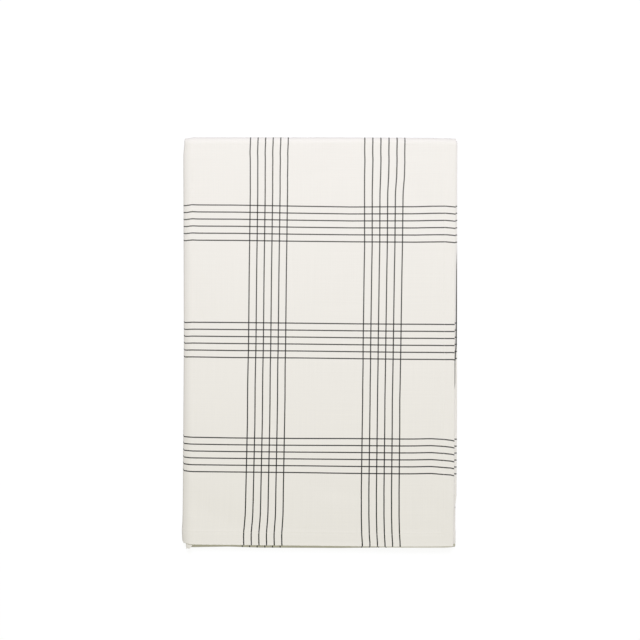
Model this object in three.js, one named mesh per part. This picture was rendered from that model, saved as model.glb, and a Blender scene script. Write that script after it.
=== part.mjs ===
// A tablecloth in one piece, lying folded: in quarters across its width, then in quarters
// along its length, so that sixteen layers lie on each other.
// Millimetres. Z is up, the cloth rests on z = 0, and the fold that wraps the stack is at +Y.

import * as THREE from "three";
import { mergeVertices } from "three/addons/utils/BufferGeometryUtils.js";

// Driving dimensions
const CLOTH_WIDTH = 1600;
const CLOTH_LENGTH = 2400;
const SHEET_THICKNESS = 1;
const LAYER_GAP = 0.35;
const STRIP_GAP = 0.4;

// A quarter fold has four runs with three turns between them. The first run lies on top,
// and the others turn in beneath it, from the bottom up.
const RUNS = 4;
const RUN_HEIGHTS = [1.5, -1.5, -0.5, 0.5];

// Where a run is divided, as shares of the way to its far end, which is the left across the
// width and the end at +Y along the length, and how finely each turn is divided
const MARKS_ACROSS = [0, 0.03, 0.2, 0.5, 0.8, 0.965, 0.977, 0.988, 1];
const MARKS_ALONG = [0, 0.02, 0.06, 0.11, 0.3, 0.5, 0.88, 0.975, 1];
const TURN_STEPS_ACROSS = [6, 4, 4];
const TURN_STEPS_ALONG = [10, 6, 6];

// A place in a fold is a station: 0 to 1 is the first run, 1 to 2 the first turn,
// 2 to 3 the second run, and so on to 7, the last hem.
const LAST_STATION = 2 * RUNS - 1;

// How far the strip's edges stand out from the middle, at stations along the length.
// outer and inner are its folds on the left, and middle is its fold on the right.
// upper and lower are the hems on the right, of its top layer and of the one beneath it.
// Its left edge hangs down by droop, over the last hangs millimetres.
const STRIP_EDGES = [
  { station: 0, outer: 204.4, inner: 197.6, middle: 195.5, upper: 195.2, lower: 193.5, hangs: 15, droop: 8 },
  { station: 0.02, outer: 205, inner: 198.6, middle: 196, upper: 195.3, lower: 193.5, hangs: 15, droop: 7.5 },
  { station: 0.06, outer: 204, inner: 197, middle: 196.5, upper: 195.5, lower: 193.5, hangs: 14, droop: 7 },
  { station: 0.11, outer: 203.5, inner: 196, middle: 200.6, upper: 196, lower: 194, hangs: 14, droop: 6.5 },
  { station: 0.3, outer: 202.7, inner: 195, middle: 201.4, upper: 197.2, lower: 195, hangs: 13, droop: 6.2 },
  { station: 0.5, outer: 201.9, inner: 195.5, middle: 201.5, upper: 197.1, lower: 195, hangs: 13, droop: 6 },
  { station: 0.88, outer: 202.3, inner: 195, middle: 201.7, upper: 198.9, lower: 196.5, hangs: 12, droop: 5 },
  { station: 0.975, outer: 202.4, inner: 195, middle: 201.9, upper: 199, lower: 196.5, hangs: 12, droop: 4.5 },
  { station: 1, outer: 200.9, inner: 194.5, middle: 202.2, upper: 199.5, lower: 196.5, hangs: 11, droop: 4 },
  { station: 1.7, outer: 200.8, inner: 194, middle: 202.2, upper: 200.5, lower: 197, hangs: 11, droop: 0 },
  { station: 3, outer: 198.5, inner: 190, middle: 200, upper: 200, lower: 196, hangs: 11, droop: 0 },
  { station: 4, outer: 198, inner: 189.5, middle: 200, upper: 200, lower: 196, hangs: 11, droop: 0 },
  { station: 5, outer: 192.5, inner: 187, middle: 200, upper: 198, lower: 195.5, hangs: 11, droop: 0 },
  { station: 6, outer: 192, inner: 186.5, middle: 200, upper: 198, lower: 195.5, hangs: 11, droop: 0 },
  { station: 7, outer: 189.5, inner: 184, middle: 199.4, upper: 196.5, lower: 194, hangs: 11, droop: 0 },
];

// How far the folds along the length stand out from the middle, at places across the stack.
// outer and inner are the folds at the far end, and middle is the fold at the near end.
const STACK_FOLDS = [
  { x: -202, outer: 302.8, inner: 291, middle: 302.5 },
  { x: -197, outer: 302.6, inner: 292.5, middle: 304 },
  { x: -193, outer: 303.1, inner: 293.5, middle: 304.4 },
  { x: -187, outer: 304.2, inner: 294, middle: 304.4 },
  { x: -137, outer: 304, inner: 294, middle: 303.6 },
  { x: -90, outer: 304, inner: 294, middle: 305.1 },
  { x: 30, outer: 304, inner: 294.4, middle: 305.6 },
  { x: 120, outer: 303.6, inner: 294.2, middle: 304.5 },
  { x: 163, outer: 303.1, inner: 294, middle: 304 },
  { x: 185, outer: 302.5, inner: 293.5, middle: 304 },
  { x: 202, outer: 301.7, inner: 291.6, middle: 303.6 },
];

// How far the hems at the near end stand out, at stations across the width.
// first is the hem of the top strip, and last is the hem of the strip beneath it.
const END_HEMS = [
  { station: 0, first: 298.1, last: 286 },
  { station: 0.03, first: 299, last: 286 },
  { station: 0.2, first: 299.3, last: 286 },
  { station: 0.5, first: 298, last: 286 },
  { station: 0.8, first: 296.7, last: 286 },
  { station: 0.965, first: 296, last: 286 },
  { station: 0.988, first: 295, last: 286 },
  { station: 1.5, first: 290.5, last: 286 },
  { station: 2.012, first: 290, last: 286 },
  { station: 2.5, first: 290, last: 286 },
  { station: 2.8, first: 290, last: 297 },
  { station: 4.2, first: 290, last: 297 },
  { station: 4.5, first: 290, last: 286 },
  { station: 4.965, first: 290, last: 286 },
  { station: 4.988, first: 302.4, last: 286 },
  { station: 5.5, first: 303.5, last: 286 },
  { station: 6.012, first: 302.4, last: 286 },
  { station: 6.035, first: 290, last: 286 },
  { station: 6.6, first: 290, last: 286 },
  { station: 6.7, first: 300.9, last: 286 },
  { station: 6.97, first: 301.4, last: 286 },
  { station: 7, first: 300.6, last: 286 },
];

// How sharply the hanging edge curves down
const DROOP_CURVE = 1.7;

const CLOTH_COLOUR = 0xece8e0;
const CLOTH_ROUGHNESS = 0.88;

const layerPitch = SHEET_THICKNESS + LAYER_GAP;
const stripThickness = (RUNS - 1) * layerPitch + SHEET_THICKNESS;
const stripPitch = stripThickness + STRIP_GAP;
const stackHeight = (RUNS - 1) * stripPitch + stripThickness;

// A table's row at a place, worked out between the rows on either side of it
function rowAt(table, key, place) {
  const before = table.findLast((row) => row[key] <= place) ?? table[0];
  const after = table.find((row) => row[key] > place) ?? before;
  const share = after === before ? 0 : Math.max(place - before[key], 0) / (after[key] - before[key]);
  const columns = Object.keys(before);
  return Object.fromEntries(
    columns.map((name) => [name, THREE.MathUtils.lerp(before[name], after[name], share)]),
  );
}

// All the stations of a quarter fold, divided as its marks and turn steps say
function stationsOf(marks, turnSteps) {
  const stations = [];
  for (let run = 0; run < RUNS; run += 1) {
    const shares = run % 2 === 0 ? marks : marks.map((mark) => 1 - mark).reverse();
    stations.push(...shares.map((share) => 2 * run + share));
    for (let step = 1; step < turnSteps[run]; step += 1) {
      stations.push(2 * run + 1 + step / turnSteps[run]);
    }
  }
  return stations;
}

// A point of a quarter fold, at an offset from the middle of what is folded. out is how far it
// lies towards the outer fold, and height is measured from the middle of the folded stack.
// edges holds how far each hem and fold stands out.
function foldedPoint(station, offset, pitch, thickness, edges) {
  const piece = Math.min(Math.floor(station), LAST_STATION - 1);
  const share = station - piece;
  const outerCentre = edges.outer - 1.5 * pitch - thickness / 2;
  const middleCentre = -edges.middle + 0.5 * pitch + thickness / 2;
  const innerCentre = edges.inner - 0.5 * pitch - thickness / 2;
  if (piece % 2 === 0) {
    const run = piece / 2;
    const ends = [-edges.first, outerCentre, middleCentre, innerCentre, -edges.last];
    const side = run % 2 === 0 ? 1 : -1;
    return {
      out: THREE.MathUtils.lerp(ends[run], ends[run + 1], share),
      height: RUN_HEIGHTS[run] * pitch + side * offset,
    };
  }
  const turn = [
    { centre: outerCentre, height: 0, radius: 1.5 * pitch + offset, bulge: 1, start: 1 },
    { centre: middleCentre, height: -pitch, radius: 0.5 * pitch + offset, bulge: -1, start: -1 },
    { centre: innerCentre, height: 0, radius: 0.5 * pitch - offset, bulge: 1, start: -1 },
  ][(piece - 1) / 2];
  const angle = turn.start * Math.PI * (0.5 - share);
  return {
    out: turn.centre + turn.bulge * turn.radius * Math.cos(angle),
    height: turn.height + turn.radius * Math.sin(angle),
  };
}

// A point of the folded cloth. The width is folded first, towards -X, which makes a strip of
// four layers, and then the strip is folded along its length, towards +Y.
function clothPoint(across, along, offset) {
  const edges = rowAt(STRIP_EDGES, "station", along);
  const hems = rowAt(END_HEMS, "station", across);
  const strip = foldedPoint(across, offset, layerPitch, SHEET_THICKNESS, {
    ...edges,
    first: edges.upper,
    last: edges.lower,
  });
  const folds = rowAt(STACK_FOLDS, "x", -strip.out);
  const stack = foldedPoint(along, strip.height, stripPitch, stripThickness, { ...folds, ...hems });
  const hang = THREE.MathUtils.clamp((strip.out - edges.outer) / edges.hangs + 1, 0, 1);
  const droop = edges.droop * hang ** DROOP_CURVE;
  const z = stack.height + stackHeight / 2 - droop;
  return new THREE.Vector3(-strip.out, stack.out, z);
}

// The sheet starts as a thin flat block, divided at the stations, and each of its corners
// is carried to its place in the fold.
function foldedSheet() {
  const columns = stationsOf(MARKS_ACROSS, TURN_STEPS_ACROSS);
  const rows = stationsOf(MARKS_ALONG, TURN_STEPS_ALONG);
  const lastColumn = columns.length - 1;
  const lastRow = rows.length - 1;
  const sheet = new THREE.BoxGeometry(
    CLOTH_WIDTH,
    CLOTH_LENGTH,
    SHEET_THICKNESS,
    lastColumn,
    lastRow,
    1,
  );
  const corners = sheet.getAttribute("position");
  for (let i = 0; i < corners.count; i += 1) {
    const column = Math.round((0.5 - corners.getX(i) / CLOTH_WIDTH) * lastColumn);
    const row = Math.round((0.5 + corners.getY(i) / CLOTH_LENGTH) * lastRow);
    const place = clothPoint(columns[column], rows[row], corners.getZ(i));
    corners.setXYZ(i, place.x, place.y, place.z);
  }
  return sheet;
}

// Joins the sheet's faces into one closed body, stood on z = 0 with its middle over the origin
function settled(sheet) {
  sheet.deleteAttribute("normal");
  sheet.deleteAttribute("uv");
  const body = mergeVertices(sheet);
  body.computeBoundingBox();
  const middle = body.boundingBox.getCenter(new THREE.Vector3());
  body.translate(-middle.x, -middle.y, -body.boundingBox.min.z);
  body.computeVertexNormals();
  return body;
}

const cloth = new THREE.Mesh(
  settled(foldedSheet()),
  new THREE.MeshStandardMaterial({ color: CLOTH_COLOUR, roughness: CLOTH_ROUGHNESS, metalness: 0 }),
);
cloth.name = "tablecloth";

const tablecloth = new THREE.Group();
tablecloth.add(cloth);

export default tablecloth;
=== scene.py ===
import math

import bmesh
import bpy
import numpy as np
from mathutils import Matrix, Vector


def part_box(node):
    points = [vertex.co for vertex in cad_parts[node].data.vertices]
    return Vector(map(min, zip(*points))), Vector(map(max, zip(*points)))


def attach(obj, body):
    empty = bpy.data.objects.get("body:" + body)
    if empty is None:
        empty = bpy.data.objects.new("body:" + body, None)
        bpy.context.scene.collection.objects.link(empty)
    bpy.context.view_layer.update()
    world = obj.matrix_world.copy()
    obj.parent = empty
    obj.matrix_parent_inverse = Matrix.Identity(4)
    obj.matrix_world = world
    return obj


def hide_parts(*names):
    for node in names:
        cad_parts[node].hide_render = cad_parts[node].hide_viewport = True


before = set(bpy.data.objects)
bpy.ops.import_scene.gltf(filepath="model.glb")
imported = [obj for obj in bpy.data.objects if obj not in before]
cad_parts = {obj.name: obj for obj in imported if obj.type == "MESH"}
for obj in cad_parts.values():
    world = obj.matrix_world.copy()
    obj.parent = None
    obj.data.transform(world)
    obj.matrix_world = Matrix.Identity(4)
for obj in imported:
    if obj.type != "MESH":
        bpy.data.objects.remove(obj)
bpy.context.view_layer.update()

# Camera: straight above the folded cloth, as in the photograph, and far enough away that
# its sides barely show. The cloth lies a little below the middle of the picture.
TOP_OF_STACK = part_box("tablecloth")[1].z
CAMERA_ABOVE_CLOTH = 1.2
VIEW_WIDTH = 0.9395
VIEW_CENTRE = (0.0009, 0.03425)


def placed(name, data):
    """Makes an object of a mesh, a light or a camera, and puts it in the scene."""
    made = bpy.data.objects.new(name, data)
    bpy.context.scene.collection.objects.link(made)
    return made


camera_data = bpy.data.cameras.new("camera")
camera_data.lens = camera_data.sensor_width * CAMERA_ABOVE_CLOTH / VIEW_WIDTH
camera = placed("camera", camera_data)
camera.location = (*VIEW_CENTRE, TOP_OF_STACK + CAMERA_ABOVE_CLOTH)
bpy.context.scene.camera = camera
bpy.context.scene.view_settings.view_transform = "Standard"


# Studio: one soft light beyond the far end of the cloth, in a surround that is brightest
# overhead and a little towards that end, so the cloth grows darker and warmer towards us.
BRIGHT_SIDE = (0.672, 0.694, 0.452)
LEVEL_SIDE = (0.325, 0.303, 0.345)
DARK_SIDE = (0.12, 0.075, 0.13)
BRIGHT_LEAN = math.radians(7)
KEY_PLACE = Vector((0.03, 1.3, 2.4))
KEY_AIM = Vector((0.0, 0.05, 0.0))
KEY_SIDE = 0.6
KEY_WATTS = 57.4
KEY_COLOUR = (0.79, 0.78, 1.0)


class Wire:
    """An output of a material's nodes, on which sums and products add Math nodes."""

    def __init__(self, tree, socket=None):
        self.tree = tree
        self.socket = socket

    def node(self, kind, settings=None, values=None, output=0):
        """Adds a node, makes its settings, then links or fills its sockets by name or number."""
        made = self.tree.nodes.new(kind)
        settings = dict(settings or {})
        stops = list(settings.pop("stops", {}).items())
        if stops:
            ramp = made.color_ramp.elements
            ramp.remove(ramp[1])
            ramp[0].position, ramp[0].color = stops[0]
            for place, colour in stops[1:]:
                ramp.new(place).color = colour
        for name, value in settings.items():
            setattr(made, name, value)
        for name, value in (values or {}).items():
            if isinstance(value, Wire):
                self.tree.links.new(value.socket, made.inputs[name])
            else:
                made.inputs[name].default_value = value
        return Wire(self.tree, made.outputs[output])

    def math(self, operation, *values):
        return self.node("ShaderNodeMath", {"operation": operation}, dict(enumerate((self, *values))))

    def feed(self, shader, name):
        self.tree.links.new(self.socket, shader.inputs[name])

    def __add__(self, other):
        return self.math("ADD", other)

    def __sub__(self, other):
        return self.math("SUBTRACT", other)

    def __mul__(self, other):
        return self.math("MULTIPLY", other)

    def __truediv__(self, other):
        return self.math("DIVIDE", other)

    def __rsub__(self, other):
        return self.math("MULTIPLY_ADD", -1.0, other)

    __radd__ = __add__
    __rmul__ = __mul__


world = bpy.data.worlds.new("surround")
bpy.context.scene.world = world
world.use_nodes = True
studio = Wire(world.node_tree)
direction = studio.node("ShaderNodeTexCoord", output="Generated")
bright_way = (0.0, math.sin(BRIGHT_LEAN), math.cos(BRIGHT_LEAN))
towards_bright = studio.node(
    "ShaderNodeVectorMath",
    {"operation": "DOT_PRODUCT"},
    {0: direction, 1: bright_way},
    output="Value",
)
surround = studio.node(
    "ShaderNodeValToRGB",
    {"stops": {0.0: (*DARK_SIDE, 1), 0.5: (*LEVEL_SIDE, 1), 1.0: (*BRIGHT_SIDE, 1)}},
    {"Fac": towards_bright * 0.5 + 0.5},
)
surround.feed(world.node_tree.nodes["Background"], "Color")

key_data = bpy.data.lights.new("key_light", "AREA")
key_data.size = KEY_SIDE
key_data.energy = KEY_WATTS
key_data.color = KEY_COLOUR
key_light = placed("key_light", key_data)
key_light.location = KEY_PLACE
key_light.rotation_euler = (KEY_AIM - KEY_PLACE).to_track_quat("-Z", "Y").to_euler()


# Floor: a plain pale surface under the cloth, which is not part of the object. It glows a
# little, so that it stays as pale as in the photograph, and sends no light back to the cloth.
FLOOR_HALF_SIDE = 4.0
FLOOR_FINISH = {
    "Base Color": (0.1, 0.1, 0.1, 1),
    "Roughness": 0.9,
    "Specular IOR Level": 0.1,
    "Emission Color": (1, 1, 1, 1),
    "Emission Strength": 0.91,
}


def as_mesh(name, shape):
    """Turns a finished shape into a mesh."""
    mesh = bpy.data.meshes.new(name)
    shape.to_mesh(mesh)
    shape.free()
    return mesh


def add_finish(mesh, name, values):
    """Gives a mesh a material with these values on its shader. Returns its nodes and shader."""
    finish = bpy.data.materials.new(name)
    finish.use_nodes = True
    shader = finish.node_tree.nodes["Principled BSDF"]
    for socket, value in values.items():
        shader.inputs[socket].default_value = value
    mesh.materials.append(finish)
    return Wire(finish.node_tree), shader


floor_shape = bmesh.new()
bmesh.ops.create_grid(floor_shape, x_segments=1, y_segments=1, size=FLOOR_HALF_SIDE)
floor_mesh = as_mesh("floor", floor_shape)
add_finish(floor_mesh, "floor_paint", FLOOR_FINISH)
floor = placed("floor", floor_mesh)
floor.visible_diffuse = False


# Cloth: one panel of plain-weave cotton, 1.6 by 2.4 m, with a narrow hem turned under on all
# four sides. It is folded in quarters across its width, towards the left, and the strip of
# four layers is then folded in quarters along its length, towards the far end.
MM = 0.001
CLOTH_WIDTH = 1.6
CLOTH_LENGTH = 2.4
RUNS = 4

# The folds are those of the solid: its sheet is this thick, and its layers and strips this
# far apart, middle to middle. The middle of the folded shape lies over the origin.
SHEET_ALLOWANCE = 1.0 * MM
LAYER_PITCH = 1.35 * MM
STRIP_GAP = 0.4 * MM
STRIP_THICKNESS = (RUNS - 1) * LAYER_PITCH + SHEET_ALLOWANCE
STRIP_PITCH = STRIP_THICKNESS + STRIP_GAP
STACK_HEIGHT = (RUNS - 1) * STRIP_PITCH + STRIP_THICKNESS
STACK_MIDDLE = (-1.4 * MM, -0.65 * MM)

# A place in a quarter fold is a station: 0 to 1 is its first run, 1 to 2 the turn after it,
# and so on to 7, the last hem. The first run lies on top, and the others turn in beneath it.
# Heights and radii are in layers. A turn bulges to a side, 1 for the outer one, has a face
# outside, 1 for the one that looks up in the first run, and starts at its top, 1, or bottom.
RUN_HEIGHTS = (1.5, -1.5, -0.5, 0.5)
TURNS = (
    {"fold": "outer", "side": 1, "height": 0, "radius": 1.5, "face": 1, "starts": 1},
    {"fold": "middle", "side": -1, "height": -1, "radius": 0.5, "face": 1, "starts": -1},
    {"fold": "inner", "side": 1, "height": 0, "radius": 0.5, "face": -1, "starts": -1},
)


def in_columns(names, rows):
    """The columns of a table by name, from its rows."""
    return dict(zip(names, np.array(rows, dtype=float).T))


# How far edges stand out, in millimetres, at stations along the strip: its folds on the left
# (outer and inner) and on the right (middle), and its hems on the right (first and last). Its
# left edge hangs down by droop, over the last hangs millimetres.
STRIP_EDGES = in_columns(
    ("station", "outer", "inner", "middle", "first", "last", "hangs", "droop"),
    [
        (0, 204.4, 197.6, 195.5, 195.2, 193.5, 15, 8),
        (0.02, 205, 198.6, 196, 195.3, 193.5, 15, 7.5),
        (0.06, 204, 197, 196.5, 195.5, 193.5, 14, 7),
        (0.11, 203.5, 196, 200.6, 196, 194, 14, 6.5),
        (0.3, 202.7, 195, 201.4, 197.2, 195, 13, 6.2),
        (0.5, 201.9, 195.5, 201.5, 197.1, 195, 13, 6),
        (0.88, 202.3, 195, 201.7, 198.9, 196.5, 12, 5),
        (0.975, 202.4, 195, 201.9, 199, 196.5, 12, 4.5),
        (1, 200.9, 194.5, 202.2, 199.5, 196.5, 11, 4),
        (1.7, 200.8, 194, 202.2, 200.5, 197, 11, 0),
        (3, 198.5, 190, 200, 200, 196, 11, 0),
        (4, 198, 189.5, 200, 200, 196, 11, 0),
        (5, 192.5, 187, 200, 198, 195.5, 11, 0),
        (6, 192, 186.5, 200, 198, 195.5, 11, 0),
        (7, 189.5, 184, 199.4, 196.5, 194, 11, 0),
    ],
)

# The same across the stack: its folds at the far end (outer and inner) and near end (middle)
STACK_FOLDS = in_columns(
    ("x", "outer", "inner", "middle"),
    [
        (-202, 302.8, 291, 302.5),
        (-197, 302.6, 292.5, 304),
        (-193, 303.1, 293.5, 304.4),
        (-187, 304.2, 294, 304.4),
        (-137, 304, 294, 303.6),
        (-90, 304, 294, 305.1),
        (30, 304, 294.4, 305.6),
        (120, 303.6, 294.2, 304.5),
        (163, 303.1, 294, 304),
        (185, 302.5, 293.5, 304),
        (202, 301.7, 291.6, 303.6),
    ],
)

# The same at stations across the cloth: the near hems of the top strip and of the next (last)
END_HEMS = in_columns(
    ("station", "first", "last"),
    [
        (0, 298.1, 286),
        (0.03, 299, 286),
        (0.2, 299.3, 286),
        (0.5, 298, 286),
        (0.8, 296.7, 286),
        (0.965, 296, 286),
        (0.988, 295, 286),
        (1.5, 290.5, 286),
        (2.012, 290, 286),
        (2.5, 290, 286),
        (2.8, 290, 297),
        (4.2, 290, 297),
        (4.5, 290, 286),
        (4.965, 290, 286),
        (4.988, 302.4, 286),
        (5.5, 303.5, 286),
        (6.012, 302.4, 286),
        (6.035, 290, 286),
        (6.6, 290, 286),
        (6.7, 300.9, 286),
        (6.97, 301.4, 286),
        (7, 300.6, 286),
    ],
)

# The flat cloth is marked out from the fold's sizes half-way along a run, and at the place
# across the stack where its folds stand out most
HALFWAY = 0.5
STACK_LONGEST = 30

# How sharply the hanging edge curves down
DROOP_CURVE = 1.7

# Soft troughs, in millimetres over the stack: where each begins and ends, how wide it is and
# how far the stack gives way under it. All the layers sink together.
TROUGHS = (
    {"begins": (127, 250), "ends": (168, 162), "width": 9, "depth": 0.45},
    {"begins": (-204, 122), "ends": (-170, 34), "width": 12, "depth": 0.4},
    {"begins": (10, -214), "ends": (62, -222), "width": 14, "depth": 0.4},
    {"begins": (160, -236), "ends": (200, -262), "width": 13, "depth": 0.4},
    {"begins": (-185, -236), "ends": (-118, -268), "width": 22, "depth": 0.9},
    {"begins": (-60, 236), "ends": (20, 262), "width": 16, "depth": 0.3},
)

# The near hem of the top layer turns up a little at its very edge
EDGE_LIFT = 0.55 * MM
EDGE_LIFT_REACH = 3.5 * MM

# The cloth itself is thin, and its hem is three layers of it, drawn in where it is sewn:
# half its thickness in millimetres, at shares of the way from its edge to the stitching
SIDE_HEM = 15.4 * MM
END_HEM = 18.3 * MM
HEM_PROFILE = in_columns(
    ("share", "half"),
    [(0, 0.3), (0.03, 0.44), (0.07, 0.5), (0.92, 0.5), (1, 0.38), (1.06, 0.47), (1.12, 0.46), (1.2, 0.28)],
)

# How closely the sheet is divided, fine where it shows and bends
HEM_STEPS = np.array([0, 0.02, 0.05, 0.1, 0.3, 0.7, 0.9, 0.96, 1.0, 1.04, 1.1, 1.16, 1.22])
FOLD_STEPS = np.array([0, 1.5, 3, 4.5, 6.5, 9, 12, 16]) * MM
SHOWN_SPACING = 5 * MM
HIDDEN_SPACING = 45 * MM
TURN_STEPS_ACROSS = (12, 8, 8)
TURN_STEPS_ALONG = (16, 10, 10)


def column(table, key, name, places):
    """One column of a table, at places between its rows."""
    return np.interp(places, table[key], table[name])


def row_at(table, key, places):
    """A table's other columns at places, in metres."""
    return {name: column(table, key, name, places) * MM for name in table if name != key}


def run_ends(pitch, thickness, edges):
    """How far out the runs of a quarter fold begin and end, at its hems and in its turns."""
    turns = (
        turn["side"] * (edges[turn["fold"]] - turn["radius"] * pitch - thickness / 2)
        for turn in TURNS
    )
    return (-edges["first"], *turns, -edges["last"])


def quarter_fold(station, offset, pitch, thickness, edges):
    """How far out and how high a place lies in a quarter fold."""
    ends = run_ends(pitch, thickness, edges)
    out = np.zeros_like(station)
    height = np.zeros_like(station)
    for run in range(RUNS):
        share = station - 2 * run
        here = (share >= 0) & (share <= 1)
        face = 1 if run % 2 == 0 else -1
        out = np.where(here, ends[run] + (ends[run + 1] - ends[run]) * share, out)
        height = np.where(here, RUN_HEIGHTS[run] * pitch + face * offset, height)
    for number, turn in enumerate(TURNS):
        share = station - 2 * number - 1
        here = (share > 0) & (share < 1)
        angle = turn["starts"] * math.pi * (0.5 - share)
        radius = turn["radius"] * pitch + turn["face"] * offset
        out = np.where(here, ends[number + 1] + turn["side"] * radius * np.cos(angle), out)
        height = np.where(here, turn["height"] * pitch + radius * np.sin(angle), height)
    return out, height


def flat_marks(size, pitch, thickness, edges):
    """Where each run and turn of a quarter fold begins on the flat cloth."""
    ends = run_ends(pitch, thickness, edges)
    lengths = [0, abs(ends[1] - ends[0])]
    for turn, start, end in zip(TURNS, ends[1:], ends[2:]):
        lengths += [turn["radius"] * pitch * math.pi, abs(end - start)]
    marks = np.cumsum(lengths)
    return marks * size / marks[-1]


strip_sizes = row_at(STRIP_EDGES, "station", HALFWAY)
stack_sizes = row_at(STACK_FOLDS, "x", STACK_LONGEST) | row_at(END_HEMS, "station", HALFWAY)
WIDTH_MARKS = flat_marks(CLOTH_WIDTH, LAYER_PITCH, SHEET_ALLOWANCE, strip_sizes)
LENGTH_MARKS = flat_marks(CLOTH_LENGTH, STRIP_PITCH, STRIP_THICKNESS, stack_sizes)
STATIONS = np.arange(2 * RUNS)


def sunk(x, y):
    """How far the top of the stack sinks at a place, in metres."""
    depth = np.zeros_like(x)
    for trough in TROUGHS:
        begins = np.array(trough["begins"]) * MM
        run = np.array(trough["ends"]) * MM - begins
        share = np.clip(((x - begins[0]) * run[0] + (y - begins[1]) * run[1]) / (run @ run), 0, 1)
        away = np.hypot(x - begins[0] - share * run[0], y - begins[1] - share * run[1])
        depth += trough["depth"] * MM * np.exp(-((away / (trough["width"] * MM)) ** 2))
    return depth


def folded(across, along, offset):
    """Carries places on the flat cloth, in metres from the hems of its top layer, to the fold."""
    u_station = np.interp(across, WIDTH_MARKS, STATIONS)
    v_station = np.interp(along, LENGTH_MARKS, STATIONS)
    edges = row_at(STRIP_EDGES, "station", v_station)
    out, height = quarter_fold(u_station, offset, LAYER_PITCH, SHEET_ALLOWANCE, edges)
    ends = row_at(STACK_FOLDS, "x", -out / MM) | row_at(END_HEMS, "station", u_station)
    y, z = quarter_fold(v_station, height, STRIP_PITCH, STRIP_THICKNESS, ends)
    hang = np.clip((out - edges["outer"]) / edges["hangs"] + 1, 0, 1)
    z = z + STACK_HEIGHT / 2 - edges["droop"] * hang**DROOP_CURVE
    z = z * (1 - sunk(-out, y) / STACK_HEIGHT)
    in_top_layer = (u_station < 1) & (v_station < HALFWAY)
    z = z + np.where(in_top_layer, EDGE_LIFT * np.exp(-along / EDGE_LIFT_REACH), 0)
    return np.stack([-out - STACK_MIDDLE[0], y - STACK_MIDDLE[1], z], axis=-1)


def half_thickness(across, along):
    """Half the cloth's thickness: more in the hems, less along their stitching."""
    side = np.minimum(across, CLOTH_WIDTH - across) / SIDE_HEM
    end = np.minimum(along, CLOTH_LENGTH - along) / END_HEM
    return column(HEM_PROFILE, "share", "half", np.minimum(side, end)) * MM


def divided(marks, turn_steps, hem):
    """Places along one side of the flat cloth at which the sheet is divided."""
    places = []
    for run in range(RUNS):
        start, end = marks[2 * run], marks[2 * run + 1]
        before = HEM_STEPS * hem if run == 0 else FOLD_STEPS
        after = HEM_STEPS * hem if run == RUNS - 1 else FOLD_STEPS
        spacing = SHOWN_SPACING if run == 0 else HIDDEN_SPACING
        count = max(round((end - after[-1] - start - before[-1]) / spacing), 1)
        places += list(start + before[:-1])
        places += list(np.linspace(start + before[-1], end - after[-1], count + 1))
        places += list(end - after[-2::-1])
        if run < RUNS - 1:
            places += list(np.linspace(end, marks[2 * run + 2], turn_steps[run] + 1)[1:-1])
    return np.array(places)


# The check: six fine lines to a group both ways, at these places and widths in millimetres
LINES_IN_GROUP = 6
WARP_FIRST = 80.4
WARP_REPEAT = 169.2
WARP_LINE_PITCH = 10.94
WEFT_FIRST = 106.2
WEFT_REPEAT = 169.9
WEFT_LINE_PITCH = 10.24
LINE_WIDTH = 1.75

# The cloth was folded a little off its threads, so the lines drift over the stack. The first
# table moves those that run along the cloth, in millimetres: a row for each place along it,
# and a column for each place across it, which its heading gives. The second moves those that
# run across it, and has rows and columns the other way about.
WARP_DRIFT = in_columns(
    ("along", 80, 135, 249, 304, 800),
    [
        (5, -2, -1, 3, 4.5, 14),
        (20, -1, 0, 3, 4.5, 14),
        (45, 0, 1, 2, 3, 14),
        (80, 0.5, 1.5, 2, 2.5, 14),
        (180, 0.5, 1, 1, 1, 14),
        (215, 0.5, 0.5, 0.5, 1, 13),
        (235, 0, 0.5, 0.5, 1, 11),
        (265, -0.5, 0, 0.5, 0.5, 11),
        (290, -1, 0, 0, 0, 9),
        (405, -2, -1, -1, -1, 8),
        (440, -2.5, -1.5, -1.5, -1.5, 7),
        (520, -3, -1, -2.5, -2.5, 5.5),
        (545, -5, -1, -2.5, -2.5, 5.5),
        (570, -5.5, -1.5, -3, -2.5, 5.5),
        (590, -5, -0.5, -2.5, -1.5, 5.5),
        (1220, 2.5, 4.5, 11.5, 14, 10),
    ],
)
WEFT_DRIFT = in_columns(
    ("across", 106, 157, 276, 327, 446, 497, 2366),
    [
        (0, -2.5, -2.5, -1, 0, 2, 3.5, 3.5),
        (5, -1, -1, -0.5, 0, 2.5, 4, 4),
        (15, 0, 0.5, -0.5, 0, 3, 4.5, 4.5),
        (35, 1.5, 1.5, -0.5, 0, 2.5, 4, 4),
        (60, 1, 1, -0.5, 0, 2, 3, 3),
        (155, 1, 1, 0, 0, 2, 2, 2),
        (230, 1.5, 0.5, 0.5, 0.5, 2.5, 3, 3),
        (325, 1.5, 0.5, 0.5, 1, 3.5, 4.5, 4.5),
        (380, 1.5, 1, 1, 1, 3.5, 4.5, 4.5),
        (390, 1.5, 1, 1, 1, 4, 5, 5),
        (500, 1.5, 1, 1, 1, 4, 5, -8),
        (810, -7, -6, -3.5, -1.5, 1, 4, -20),
    ],
)


def drifted(table, key, row_places, side_places):
    """Looks up a drift table in metres, between its rows and between its columns."""
    headings = [name for name in table if name != key]
    columns = np.stack([column(table, key, name, row_places / MM) for name in headings], axis=-1)
    at = np.array(headings) * MM
    above = np.clip(np.searchsorted(at, side_places, side="right"), 1, len(at) - 1)
    share = np.clip((side_places - at[above - 1]) / (at[above] - at[above - 1]), 0, 1)
    before = np.take_along_axis(columns, (above - 1)[:, None], axis=-1)[:, 0]
    after = np.take_along_axis(columns, above[:, None], axis=-1)[:, 0]
    return (before + (after - before) * share) * MM


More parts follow.
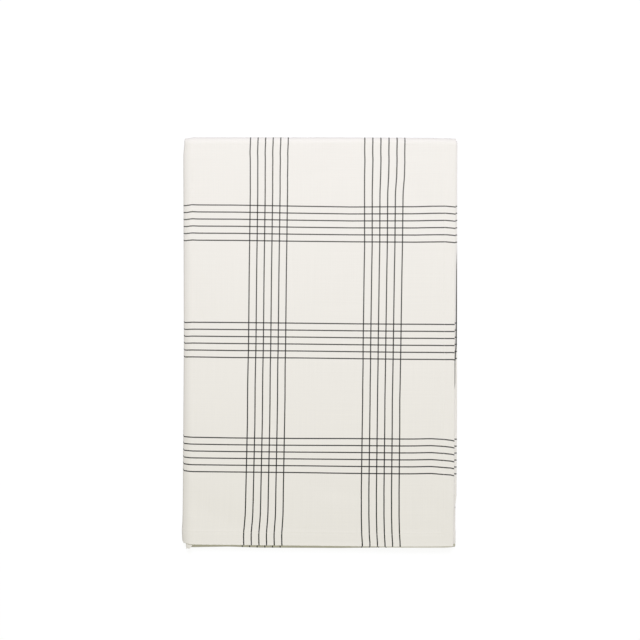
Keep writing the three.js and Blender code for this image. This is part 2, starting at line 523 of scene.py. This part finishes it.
def corner_places(mesh):
    """The places of a mesh's corners, one to a row."""
    places = np.zeros(len(mesh.vertices) * 3)
    mesh.vertices.foreach_get("co", places)
    return places.reshape(-1, 3)


def add_plane(mesh, name, places):
    """Gives a mesh a map of a flat piece of cloth or thread, from its corners' places there."""
    loop_corners = np.zeros(len(mesh.loops), dtype=np.int32)
    mesh.loops.foreach_get("vertex_index", loop_corners)
    mesh.uv_layers.new(name=name).uv.foreach_set("vector", places[loop_corners].ravel())


# The flat sheet: a grid drawn out to a thin slab, and each corner then carried to its place
GRID_HALF_SIDE = 0.5
across_places = divided(WIDTH_MARKS, TURN_STEPS_ACROSS, SIDE_HEM)
along_places = divided(LENGTH_MARKS, TURN_STEPS_ALONG, END_HEM)
last_column = len(across_places) - 1
last_row = len(along_places) - 1
flat_shape = bmesh.new()
bmesh.ops.create_grid(flat_shape, x_segments=last_column, y_segments=last_row, size=GRID_HALF_SIDE)
upper_count = len(flat_shape.verts)
bmesh.ops.extrude_face_region(flat_shape, geom=flat_shape.faces[:], use_keep_orig=True)
flat_mesh = as_mesh("flat_cloth", flat_shape)

grid_places = corner_places(flat_mesh) + GRID_HALF_SIDE
across = across_places[np.rint(grid_places[:, 0] * last_column).astype(int)]
along = along_places[np.rint(grid_places[:, 1] * last_row).astype(int)]
face = np.where(np.arange(len(grid_places)) < upper_count, 1, -1)
offset = half_thickness(across, along) * face
flat_mesh.vertices.foreach_set("co", folded(across, along, offset).ravel())
on_threads = np.stack(
    [
        across - drifted(WARP_DRIFT, "along", along, across),
        along - drifted(WEFT_DRIFT, "across", across, along),
    ],
    axis=-1,
)
add_plane(flat_mesh, "cloth_plane", on_threads)

cloth_shape = bmesh.new()
cloth_shape.from_mesh(flat_mesh)
bpy.data.meshes.remove(flat_mesh)
bmesh.ops.recalc_face_normals(cloth_shape, faces=cloth_shape.faces[:])
cloth_mesh = as_mesh("folded_cloth", cloth_shape)
cloth_mesh.shade_smooth()
cloth = placed("folded_cloth", cloth_mesh)

# The finish: off-white cotton of plain weave with near-black lines, matt, with thick and
# thin places in its threads
COTTON = (0.78, 0.755, 0.705)
DARK_YARN = (0.02, 0.02, 0.02)
COTTON_FINISH = {
    "Roughness": 0.92,
    "Specular IOR Level": 0.25,
    "Sheen Weight": 0.08,
    "Sheen Roughness": 0.5,
}
LINE_EDGE = 0.12 * MM
YARN_PITCH = 0.45 * MM
WEAVE_RELIEF = {"Strength": 0.25, "Distance": 0.12 * MM}
SLUBS_ALONG = (900, 9, 1)
SLUBS_ACROSS = (9, 900, 1)
SLUB_DEPTH = 0.05

# The lines are painted fainter towards the far end of the top layer: a painted glare of the light beyond
# that end, washing over them
LINE_COVER_NEAR = 1.0
LINE_COVER_UNDER_PAINTED_GLARE = 0.86
TOP_LAYER_LENGTH = 0.6

cotton, cloth_shader = add_finish(cloth_mesh, "checked_cotton", COTTON_FINISH)
plane = cotton.node("ShaderNodeUVMap", {"uv_map": "cloth_plane"})
u_thread = cotton.node("ShaderNodeSeparateXYZ", values={0: plane}, output="X")
v_thread = cotton.node("ShaderNodeSeparateXYZ", values={0: plane}, output="Y")


def line_mask(place, first, repeat, pitch):
    """1 on the dark lines that run at one place, 0 between them."""
    half = pitch / 2
    in_repeat = (place - (first - half)).math("FLOORED_MODULO", repeat) - half
    number = (in_repeat / pitch).math("ROUND").math("MINIMUM", LINES_IN_GROUP - 1).math("MAXIMUM", 0)
    distance = (in_repeat - number * pitch).math("ABSOLUTE")
    return cotton.node(
        "ShaderNodeMapRange",
        {"interpolation_type": "SMOOTHSTEP"},
        {
            "Value": distance,
            "From Min": LINE_WIDTH * MM / 2 - LINE_EDGE,
            "From Max": LINE_WIDTH * MM / 2 + LINE_EDGE,
            "To Min": 1.0,
            "To Max": 0.0,
        },
    )


def slubs(scale):
    """Thick and thin places in the threads that run one way, as long and narrow patches."""
    drawn_out = cotton.node("ShaderNodeMapping", values={"Vector": plane, "Scale": scale})
    return cotton.node("ShaderNodeTexNoise", values={"Vector": drawn_out, "Scale": 1.0, "Detail": 2.0})


warp_line = line_mask(u_thread, WARP_FIRST * MM, WARP_REPEAT * MM, WARP_LINE_PITCH * MM)
weft_line = line_mask(v_thread, WEFT_FIRST * MM, WEFT_REPEAT * MM, WEFT_LINE_PITCH * MM)

# Threads pass over and under each other by turns
u_count = u_thread / YARN_PITCH
v_count = v_thread / YARN_PITCH
u_number = u_count.math("FLOOR")
v_number = v_count.math("FLOOR")
u_round = ((u_count - u_number) * math.pi).math("SINE")
v_round = ((v_count - v_number) * math.pi).math("SINE")
warp_over = ((v_count + u_number) * math.pi).math("COSINE") * 0.5 + 0.5
weft_over = ((u_count + v_number) * math.pi).math("SINE") * -0.5 + 0.5
weave = (u_round * warp_over).math("MAXIMUM", v_round * weft_over)

shade = 1.0 + (slubs(SLUBS_ALONG) + slubs(SLUBS_ACROSS) - 1.0) * SLUB_DEPTH
ground = cotton.node("ShaderNodeVectorMath", {"operation": "SCALE"}, {0: COTTON, "Scale": shade})
# Painted glare: the dark lines cover less of the cloth towards the far end
line_cover_with_painted_glare = cotton.node(
    "ShaderNodeMapRange",
    values={
        "Value": v_thread,
        "From Max": TOP_LAYER_LENGTH,
        "To Min": LINE_COVER_NEAR,
        "To Max": LINE_COVER_UNDER_PAINTED_GLARE,
    },
)
ground_shows = (1.0 - warp_line * line_cover_with_painted_glare) * (1.0 - weft_line * line_cover_with_painted_glare)
dyed = cotton.node(
    "ShaderNodeMix",
    {"data_type": "RGBA"},
    {0: 1.0 - ground_shows, 6: ground, 7: (*DARK_YARN, 1)},
    output=2,
)
dyed.feed(cloth_shader, "Base Color")
cotton.node("ShaderNodeBump", values={"Height": weave, **WEAVE_RELIEF}).feed(cloth_shader, "Normal")

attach(cloth, "root")
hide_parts("tablecloth")


# Hem thread: off-white cotton thread that sews the hems down on all four sides, in a straight
# lockstitch of about 3 mm that shows alike on both faces of the cloth. A seam's first and last
# stitches, right at the cloth's edge, are left out.
STITCH_PITCH = 3.0 * MM
STITCHES_LEFT_OUT = 1
THREAD_WIDTH = 0.42 * MM
THREAD_RISE = 0.15 * MM
THREAD_SUNK = -0.25
SEAMS = (
    {"runs": "along", "at": SIDE_HEM, "length": CLOTH_LENGTH},
    {"runs": "along", "at": CLOTH_WIDTH - SIDE_HEM, "length": CLOTH_LENGTH},
    {"runs": "across", "at": END_HEM, "length": CLOTH_WIDTH},
    {"runs": "across", "at": CLOTH_LENGTH - END_HEM, "length": CLOTH_WIDTH},
)

# Along a stitch: where its four cross-sections stand, how wide and how high each one is
STITCH_SHARES = np.array([0.05, 0.20, 0.76, 0.91])
STITCH_WIDTHS = np.array([0.5, 1.0, 1.0, 0.5])
STITCH_RISES = np.array([-0.6, 1.0, 1.0, -0.6])
SECTIONS = len(STITCH_SHARES)

THREAD_COLOUR = (0.83, 0.81, 0.75)
THREAD_FINISH = {"Roughness": 0.7, "Specular IOR Level": 0.35, "Sheen Weight": 0.1}
TWIST_PITCH = 0.35 * MM
TWIST_RELIEF = {"Strength": 0.4, "Distance": 0.06 * MM}
# Painted shade in the groove between the plies: the thread's colour falls to this share there
PLY_GROOVE_PAINTED_SHADE = 0.86


def stitch_run(seam, face):
    """The stitches of one seam on one face: a long narrow grid, with a gap after each stitch."""
    count = round(seam["length"] / STITCH_PITCH) - 2 * STITCHES_LEFT_OUT
    columns = SECTIONS * count
    shape = bmesh.new()
    bmesh.ops.create_grid(shape, x_segments=columns, y_segments=2, size=GRID_HALF_SIDE)
    gaps = []
    for square in shape.faces:
        number = int((square.calc_center_median().x + GRID_HALF_SIDE) * columns)
        if number % SECTIONS == SECTIONS - 1:
            gaps.append(square)
    bmesh.ops.delete(shape, geom=gaps, context="FACES")
    mesh = as_mesh("stitch_run", shape)

    places = corner_places(mesh)
    number = np.rint((places[:, 0] + GRID_HALF_SIDE) * columns).astype(int)
    section = number % SECTIONS
    way = (number // SECTIONS + STITCHES_LEFT_OUT + STITCH_SHARES[section]) * STITCH_PITCH
    aside = places[:, 1] * THREAD_WIDTH
    on_ridge = np.abs(places[:, 1]) < GRID_HALF_SIDE / 2
    rise = np.where(on_ridge, STITCH_RISES[section], THREAD_SUNK) * THREAD_RISE
    across = seam["at"] + aside * STITCH_WIDTHS[section]
    along = way
    if seam["runs"] == "across":
        across, along = along, across
    offset = (half_thickness(across, along) + rise) * face
    mesh.vertices.foreach_set("co", folded(across, along, offset).ravel())
    add_plane(mesh, "thread_plane", np.stack([way, aside], axis=-1))
    return mesh


thread_shape = bmesh.new()
for seam in SEAMS:
    for face in (1, -1):
        run_mesh = stitch_run(seam, face)
        thread_shape.from_mesh(run_mesh)
        bpy.data.meshes.remove(run_mesh)
thread_mesh = as_mesh("hem_thread", thread_shape)
thread_mesh.shade_smooth()
hem_thread = placed("hem_thread", thread_mesh)

# The finish: two plies twisted together, with painted shade a little darker in the groove between them
thread, thread_shader = add_finish(thread_mesh, "sewing_cotton", THREAD_FINISH)
thread_plane = thread.node("ShaderNodeUVMap", {"uv_map": "thread_plane"})
thread_way = thread.node("ShaderNodeSeparateXYZ", values={0: thread_plane}, output="X")
thread_side = thread.node("ShaderNodeSeparateXYZ", values={0: thread_plane}, output="Y")
ply = ((thread_way + thread_side) * (2 * math.pi / TWIST_PITCH)).math("SINE") * 0.5 + 0.5
plied_with_painted_shade = thread.node(
    "ShaderNodeVectorMath",
    {"operation": "SCALE"},
    {0: THREAD_COLOUR, "Scale": PLY_GROOVE_PAINTED_SHADE + ply * (1 - PLY_GROOVE_PAINTED_SHADE)},
)
plied_with_painted_shade.feed(thread_shader, "Base Color")
thread.node("ShaderNodeBump", values={"Height": ply, **TWIST_RELIEF}).feed(thread_shader, "Normal")

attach(hem_thread, "root")
